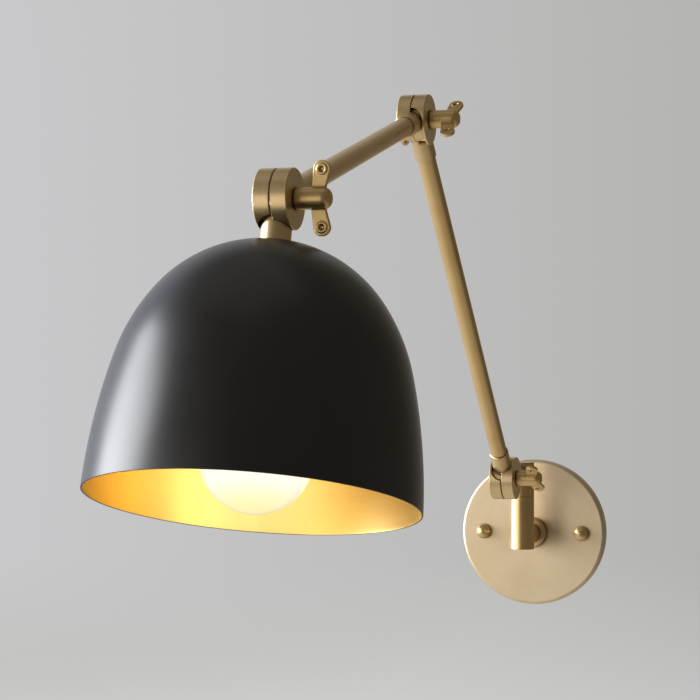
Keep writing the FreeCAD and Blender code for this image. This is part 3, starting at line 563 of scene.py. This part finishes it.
knuckle = {"edge": 0.28, "edgeSegments": 3, "boltEdge": 0.3, "washerEdge": 0.1}
hinges = {
    # where it turns, and its two brass halves
    "base": (baseHinge, ("head_knuckle", "lower_arm_base_knuckle")),
    "elbow": (elbowHinge, ("upper_arm_elbow_knuckle", "lower_arm_elbow_knuckle")),
    "shade": (shadeHinge, ("upper_arm_shade_knuckle", "shade_knuckle")),
}
for hinge, (centre, halves) in hinges.items():
    hingeBrass = satinBrass("satinBrass" + hinge.capitalize() + "Knuckle", centre, sideways, "turned")
    for half in halves:
        softenedNode(half, pieceName(half), knuckle["edge"], hingeBrass,
                     knuckle["edgeSegments"])
    softenedNode(hinge + "_pivot_bolt", hinge + "PivotBolt", knuckle["boltEdge"], hingeBrass)
    softenedNode(hinge + "_friction_washer", hinge + "FrictionWasher", knuckle["washerEdge"], fibreBoard)
print("knuckles done")

tube = {
    "radius": 6.35,
    "wall": 1.2,
    "inset": 18.0,           # hinge to the tube's end, down in the knuckle's neck
    "turnSteps": 64,
    "edge": 0.2,
    "sharpFrom": 40,         # degrees; only edges above it are rounded
}
for arm, start, axis, length in (("lower", baseHinge, lowerArmAxis, layout["lowerArmLength"]),
                                 ("upper", elbowHinge, upperArmAxis, layout["upperArmLength"])):
    armBrass = satinBrass("satinBrass" + arm.capitalize() + "Tube", start, axis, "drawn")
    reach = length - 2 * tube["inset"]
    bore = tube["radius"] - tube["wall"]
    pipe = turned([(bore, 0), (tube["radius"], 0), (tube["radius"], reach / 2), (tube["radius"], reach),
                   (bore, reach)], tube["turnSteps"], closed=True)
    soften(pipe, tube["edge"], sharp=tube["sharpFrom"])
    finishPiece(pipe, arm + "ArmTube", [arm + "_arm_tube"], standing(start + axis * tube["inset"], axis),
                [armBrass])

wing = {
    "voxel": 0.2,
    "smoothing": 12,         # passes
    "smoothShare": 0.5,      # of the way to the neighbours in each pass
    "seatGap": 0.06,
    "smoothBelow": 180,      # degrees; a casting has no crisp edge
}
for hinge, (centre, _) in hinges.items():
    # cast ears melt into the barrel: a fine remesh and a few smoothing passes give the fillets
    castBrass = satinBrass("satinBrass" + hinge.capitalize() + "Wing", centre, sideways, "cast")
    bm = throughModifier(nodeCopy(hinge + "_wing_nut"), "REMESH",
                         {"mode": "VOXEL", "voxel_size": wing["voxel"]})
    for _ in range(wing["smoothing"]):
        bmesh.ops.smooth_vert(bm, verts=bm.verts, factor=wing["smoothShare"], use_axis_x=True,
                              use_axis_y=True, use_axis_z=True)
    bmesh.ops.recalc_face_normals(bm, faces=bm.faces)
    bm.transform(Matrix.Translation(sideways * wing["seatGap"]))
    finishPiece(bm, hinge + "WingNut", [hinge + "_wing_nut"], Matrix.Scale(mm, 4), [castBrass],
                wing["smoothBelow"])
print("arms and wing nuts done")

shade = {
    "seat": 25.9,            # hinge to the dome's flat top
    "seatRadius": 10.0,
    "seatRing": 6.0,         # an extra ring on the flat top
    "height": 138.0,
    "wall": 1.0,
    "crown": (74.8, 54.0),   # radius, and the angle where the arc ends
    "shoulder": (106.0, 75.9),
    "skirt": 325.5,          # radius
    "arcSteps": (26, 14, 22),
    "turnSteps": 176,
    "rimRound": 0.3,
    "rimSegments": 3,
    "ventRadius": 2.4,
    "ventCircle": 23.0,      # radius
    "ventSteps": 32,
    "vents": 5,
    "firstVent": 45.0,       # degrees round the axis
    "drillDepth": 10.0,
    "drillMiddle": 3.0,      # below the flat top
}
sides = {
    # how far a face has to turn, as a share of its normal, and how far it lies from the rim in mm
    "lipTurn": 0.5,          # towards the open end, to belong to the browned lip
    "lipReach": 0.5,
    "innerTurn": 0.3,        # back to the axis, to be gold
    "crownTurn": 0.2,        # towards the open end, to be gold too
    "crownFrom": 2.0,
}


def domeLine(inset):
    # the dome's profile from the flat top to the rim, moved in by inset, and the top's height
    crownRadius, crownEnd = shade["crown"]
    shoulderRadius, shoulderEnd = shade["shoulder"]
    top = shade["seat"] + inset
    crownCentre = (0.0, shade["seat"] + math.sqrt(crownRadius ** 2 - shade["seatRadius"] ** 2))
    startDegrees = math.degrees(math.acos((crownCentre[1] - top) / (crownRadius - inset)))

    def nextCentre(centre, change, degrees):
        turn = math.radians(degrees)
        return centre[0] + change * math.sin(turn), centre[1] - change * math.cos(turn)

    shoulderCentre = nextCentre(crownCentre, crownRadius - shoulderRadius, crownEnd)
    skirtCentre = nextCentre(shoulderCentre, shoulderRadius - shade["skirt"], shoulderEnd)
    rim = shade["seat"] + shade["height"]
    rimDegrees = math.degrees(math.acos((skirtCentre[1] - rim) / (shade["skirt"] - inset)))
    steps = shade["arcSteps"]
    line = arc(crownCentre, crownRadius - inset, startDegrees, crownEnd, steps[0])
    line += arc(shoulderCentre, shoulderRadius - inset, crownEnd, shoulderEnd, steps[1])[1:]
    line += arc(skirtCentre, shade["skirt"] - inset, shoulderEnd, rimDegrees, steps[2])[1:]
    return line, top


def shadeSide(face, rimHeight):
    # 0 is the enamel outside, 1 the gold inside, 2 the lip between them
    middle = face.calc_center_median()
    awayFromAxis = Vector((middle.x, middle.y, 0))
    if face.normal.z > sides["lipTurn"] and middle.z > rimHeight - sides["lipReach"]:
        return 2
    looksBack = face.normal.dot(awayFromAxis) < -sides["innerTurn"] * awayFromAxis.length
    looksOut = face.normal.z > sides["crownTurn"] and middle.z < rimHeight - sides["crownFrom"]
    return 1 if looksBack or looksOut else 0


def ventDrills():
    # one short rod for each vent, in a ring round the neck
    rods = bmesh.new()
    for vent in range(shade["vents"]):
        turn = math.radians(shade["firstVent"] + 360 * vent / shade["vents"])
        centre = (Vector((math.cos(turn), math.sin(turn), 0)) * shade["ventCircle"]
                  + upwards * (shade["seat"] + shade["drillMiddle"]))
        bmesh.ops.create_cone(rods, cap_ends=True, segments=shade["ventSteps"],
                              radius1=shade["ventRadius"], radius2=shade["ventRadius"],
                              depth=shade["drillDepth"], matrix=Matrix.Translation(centre))
    return newObject(rods, "drill")


def makeShade():
    outer, outerTop = domeLine(0.0)
    inner, innerTop = domeLine(shade["wall"])
    bm = turned([(0, outerTop), (shade["seatRing"], outerTop)] + outer + inner[::-1]
                + [(shade["seatRing"], innerTop), (0, innerTop)], shade["turnSteps"])
    rimHeight = shade["seat"] + shade["height"]
    # the rim's two edges are level with it and turn by nearly a right angle
    rim = [e for e in bm.edges if all(abs(v.co.z - rimHeight) < 1e-3 for v in e.verts)
           and len(e.link_faces) == 2 and e.calc_face_angle() > 1.0]
    bmesh.ops.bevel(bm, geom=rim, offset=shade["rimRound"], offset_type="OFFSET", affect="EDGES",
                    segments=shade["rimSegments"], profile=0.5, material=-1)
    drill = ventDrills()
    bm = throughModifier(bm, "BOOLEAN", {"operation": "DIFFERENCE", "object": drill, "solver": "EXACT"})
    bpy.data.meshes.remove(drill.data)
    for face in bm.faces:
        face.material_index = shadeSide(face, rimHeight)
    return bm


finishPiece(makeShade(), "shadeDome", ["shade"], standing(shadeHinge, shadeAxis),
            [sprayedEnamel(), spunGold(), rimLip])
print("shade done")

cupBrass = satinBrass("satinBrassSocketCup", shadeHinge, shadeAxis, "turned")
socketParts = {
    # node: width of its rounded edges in mm, material, slot
    "shade_nipple": (0.15, zincSteel, "zinc_steel"),
    "shade_locknut": (0.3, zincSteel, "zinc_steel"),
    "socket_cup": (0.15, cupBrass, "thin_brass"),
    "socket_cup_nut": (0.3, zincSteel, "zinc_steel"),
    "socket_body": (0.4, phenolic, "socket_phenolic"),
}
for node, (width, material, slot) in socketParts.items():
    softenedNode(node, pieceName(node), width, material)

bulb = {
    "radius": 29.8,
    "centre": 139.0,         # from the hinge
    "neckRadius": 13.6,
    "skirt": 16.0,           # how far the flank's curve is pulled along its ends' directions
    "join": 52.0,            # degrees from the globe's top where the flank meets it
    "wall": 0.8,
    "powderInset": 1.6,
    "baseEdge": 0.12,
    "flankSteps": 12,
    "globeSteps": 34,
    "turnSteps": 96,
    "filamentWatts": 0.165,
    "filamentColour": "#FFF3DC",
    "filamentRadius": 24.0,
    "filamentRight": 13.0,   # the gold is lit a little more on the right, as in the photograph
}


def globeLine(inset):
    # from the neck's edge along a soft flank on to the round globe
    join = math.radians(bulb["join"])
    screwBase = frame["nodes"]["bulb_screw_base"]
    neckEnd = max((vertex.co / mm - shadeHinge).dot(shadeAxis) for vertex in screwBase.data.vertices)
    neck, radius = bulb["neckRadius"] - inset, bulb["radius"] - inset
    touch = (radius * math.sin(join), bulb["centre"] - radius * math.cos(join))
    poles = [(neck, neckEnd), (neck, neckEnd + bulb["skirt"]),
             (touch[0] - math.cos(join) * bulb["skirt"], touch[1] - math.sin(join) * bulb["skirt"]), touch]
    line = []
    for step in range(bulb["flankSteps"]):
        t = step / bulb["flankSteps"]
        shares = ((1 - t) ** 3, 3 * t * (1 - t) ** 2, 3 * t * t * (1 - t), t ** 3)
        line.append(tuple(sum(share * pole[k] for share, pole in zip(shares, poles)) for k in (0, 1)))
    line += arc((0, bulb["centre"]), radius, bulb["join"], 180, bulb["globeSteps"])[:-1]
    return line + [(0, bulb["centre"] + radius)]


bulbCentre = shadeHinge + shadeAxis * bulb["centre"]
powderLine = globeLine(bulb["powderInset"])
for name, line, material in (
        ("bulbGlobe", globeLine(0.0) + globeLine(bulb["wall"])[::-1], blownGlass()),
        ("bulbPowder", [(0, powderLine[0][1])] + powderLine, litPowder(bulbCentre))):
    piece = finishPiece(turned(line, bulb["turnSteps"]), name, ["bulb_globe"],
                        standing(shadeHinge, shadeAxis), [material])
    piece.visible_shadow = False     # the filament's light passes through
softenedNode("bulb_screw_base", "bulbScrewBase", bulb["baseEdge"], nickelShell)
print("socket and bulb done")

# CAD nodes whose shape is right stay, in better materials
hiddenBrass = satinBrass("satinBrassInnerParts", canopyBack, upwards, "cast")
kept = {
    "canopy_studs": zincSteel, "wall_nipple": zincSteel, "pivot_tube": zincSteel, "pivot_nut": zincSteel,
    "lower_arm_lead": leadSheath, "upper_arm_lead": leadSheath, "socket_screw_shell": hiddenBrass,
    "socket_contact": hiddenBrass, "bulb_contact_tip": nickelShell, "bulb_insulator": blackGlass,
}
for node, material in kept.items():
    for place in frame["nodes"][node].material_slots:
        place.link = "OBJECT"
        place.material = material
print("kept nodes dressed:", len(kept))

studio = {
    "floorCentre": (0, -0.35, -0.30),    # metres, as the next two
    "floorRadius": 4.0,
    "floorFade": (1.4, 3.4),
    "floorSteps": 96,
    "floorColour": ("#F0F0EF", "#D9D9D7"),       # left and right, as the left panel's light falls off
    "floorSpan": (-1.0, 1.0),                    # metres, from left to right
    "evenLight": "#CECECD",                      # falls on matt surfaces from all round
    "backdrop": [(0.275, "#C9C9CB"), (0.44, "#B4B4B2")],     # seen behind the lamp, left to right
    # what the metal mirrors, from far left to far right: the same backdrop, then a warm dim studio
    "front": [(0.0, "#DCE2F4"), (0.15, "#DADDEA"), (0.275, "#C9C9CB"), (0.44, "#B4B4B2"),
              (0.575, "#7C7466"), (0.8, "#5A5347"), (1.0, "#6E6657")],
    # behind the camera, overhead and towards the floor, in the same order
    "behind": [(0.0, "#B9B7B2"), (0.3, "#908B80"), (0.5, "#6E675A"), (1.0, "#665E50")],
    "overhead": [(0.0, "#6A6354"), (1.0, "#6A6354")],
    "below": [(0.0, "#F4F2EC"), (0.3, "#DAD6CC"), (0.55, "#BDB6A6"), (1.0, "#938B7A")],
    # the part of a direction along y or z over which each of them takes over
    "takesOver": {"behind": ("Y", 0.25, -0.25), "overhead": ("Z", 0.5, 0.9), "below": ("Z", -0.35, -0.75)},
}


def makeFloor():
    bm = bmesh.new()
    bmesh.ops.create_circle(bm, cap_ends=True, segments=studio["floorSteps"],
                            radius=studio["floorRadius"], matrix=Matrix.Translation(studio["floorCentre"]))
    floor = newObject(bm, "floor")
    floor.visible_glossy = False
    # matt pale paper that fades into the backdrop before its edge
    material, tree, output = newMaterial("palePaper")
    place = addNode(tree, "TexCoord", {})
    centred = addNode(tree, "VectorMath", {"operation": "SUBTRACT", 1: studio["floorCentre"]},
                      {0: place.outputs["Object"]})
    distance = addNode(tree, "VectorMath", {"operation": "LENGTH"}, {0: centred.outputs["Vector"]})
    fade = addNode(tree, "MapRange", {"interpolation_type": "SMOOTHSTEP",
                                      "From Min": studio["floorFade"][0],
                                      "From Max": studio["floorFade"][1]},
                   {"Value": distance.outputs["Value"]})
    split = addNode(tree, "SeparateXYZ", {}, {0: centred.outputs["Vector"]})
    across = addNode(tree, "MapRange", {"From Min": studio["floorSpan"][0],
                                        "From Max": studio["floorSpan"][1]}, {"Value": split.outputs["X"]})
    colour = blendColours(tree, across.outputs["Result"], *studio["floorColour"])
    paper = addNode(tree, "BsdfDiffuse", {}, {"Color": colour})
    clear = addNode(tree, "BsdfTransparent", {})
    mixed = addNode(tree, "MixShader", {}, {0: fade.outputs["Result"], 1: paper.outputs[0],
                                            2: clear.outputs[0]})
    tree.links.new(mixed.outputs[0], output.inputs["Surface"])
    floor.data.materials.append(material)


def makeSky():
    # even light for matt surfaces, the studio for what metal mirrors, the backdrop for what is seen
    # straight or through the bulb's glass
    world = bpy.data.worlds.new("studioRoom")
    scene.world = world
    world.use_nodes = True
    tree = world.node_tree
    tree.nodes.clear()
    direction = addNode(tree, "TexCoord", {})
    split = addNode(tree, "SeparateXYZ", {}, {0: direction.outputs["Generated"]})
    rightwards = addNode(tree, "MapRange", {"From Min": -1.0, "From Max": 1.0},
                         {"Value": split.outputs["X"]}).outputs["Result"]
    mirrored = rampColours(tree, rightwards, studio["front"])
    for part, (along, fromShare, toShare) in studio["takesOver"].items():
        fade = addNode(tree, "MapRange", {"interpolation_type": "SMOOTHSTEP", "From Min": fromShare,
                                          "From Max": toShare}, {"Value": split.outputs[along]})
        mirrored = addNode(tree, "Mix", {"data_type": "RGBA"},
                           {0: fade.outputs["Result"], 6: mirrored,
                            7: rampColours(tree, rightwards, studio[part])}).outputs[2]
    path = addNode(tree, "LightPath", {})
    lit = addNode(tree, "Mix", {"data_type": "RGBA", 6: hexColour(studio["evenLight"])},
                  {0: path.outputs["Is Glossy Ray"], 7: mirrored})
    straight = addNode(tree, "Math", {"operation": "ADD", "use_clamp": True},
                       {0: path.outputs["Is Camera Ray"], 1: path.outputs["Is Transmission Ray"]})
    seen = addNode(tree, "Mix", {"data_type": "RGBA"},
                   {0: straight.outputs["Value"], 6: lit.outputs[2],
                    7: rampColours(tree, rightwards, studio["backdrop"])})
    back = addNode(tree, "Background", {"Strength": 1.0}, {"Color": seen.outputs[2]})
    addNode(tree, "OutputWorld", {"is_active_output": True}, {"Surface": back.outputs[0]})


lamps = {
    # name: place, what it looks at, width and height in metres, spread in degrees, watts, colour
    "leftPanel": ((-1.8, -0.87, 0.42), (0.0, -0.7, 0.15), 1.35, 1.7, 100, 24.0, "#F8FAFF"),
    "frontPanel": ((-1.05, -1.8, -0.02), (0.0, -0.3, 0.0), 1.3, 1.1, 120, 3.1, "#FFF9EC"),
    "topPanel": ((-0.2, -0.7, 2.0), (0.0, -0.4, 0.1), 1.6, 1.6, 180, 1.5, "#FFFFFF"),
}


def newLamp(name, kind, place, watts, colour):
    data = bpy.data.lights.new(name, kind)
    data.energy = watts
    data.color = hexColour(colour)[:3]
    lamp = bpy.data.objects.new(name, data)
    scene.collection.objects.link(lamp)
    lamp.location = place
    return lamp


def makeLamps():
    for name, (place, target, width, height, spread, watts, colour) in lamps.items():
        lamp = newLamp(name, "AREA", place, watts, colour)
        lamp.data.shape = "RECTANGLE"
        lamp.data.size = width
        lamp.data.size_y = height
        lamp.data.spread = math.radians(spread)
        lamp.rotation_euler = (Vector(target) - Vector(place)).to_track_quat("-Z", "Y").to_euler()
    middle = (bulbCentre + sideways * bulb["filamentRight"]) * mm
    filament = newLamp("filament", "POINT", middle, bulb["filamentWatts"], bulb["filamentColour"])
    filament.data.shadow_soft_size = bulb["filamentRadius"] * mm
    filament.visible_camera = False
    filament.visible_transmission = False


camera = {
    "place": (0.34910, -1.68796, 0.14587),
    "yaw": 16.87,            # degrees to the left of straight at the canopy's face
    "lens": 105.04,
    "sensor": 36.0,
    "shiftUp": 0.0108,
    "clip": (0.01, 50),      # metres
}


def makeCamera():
    data = bpy.data.cameras.new("camera")
    data.sensor_width = camera["sensor"]
    data.lens = camera["lens"]
    data.shift_y = camera["shiftUp"]
    data.clip_start, data.clip_end = camera["clip"]
    viewer = bpy.data.objects.new("camera", data)
    scene.collection.objects.link(viewer)
    viewer.location = camera["place"]
    viewer.rotation_euler = Euler((math.radians(90), 0, math.radians(camera["yaw"])))
    scene.camera = viewer


makeFloor()
makeSky()
makeLamps()
makeCamera()
scene.view_settings.view_transform = "Standard"
print("studio done")
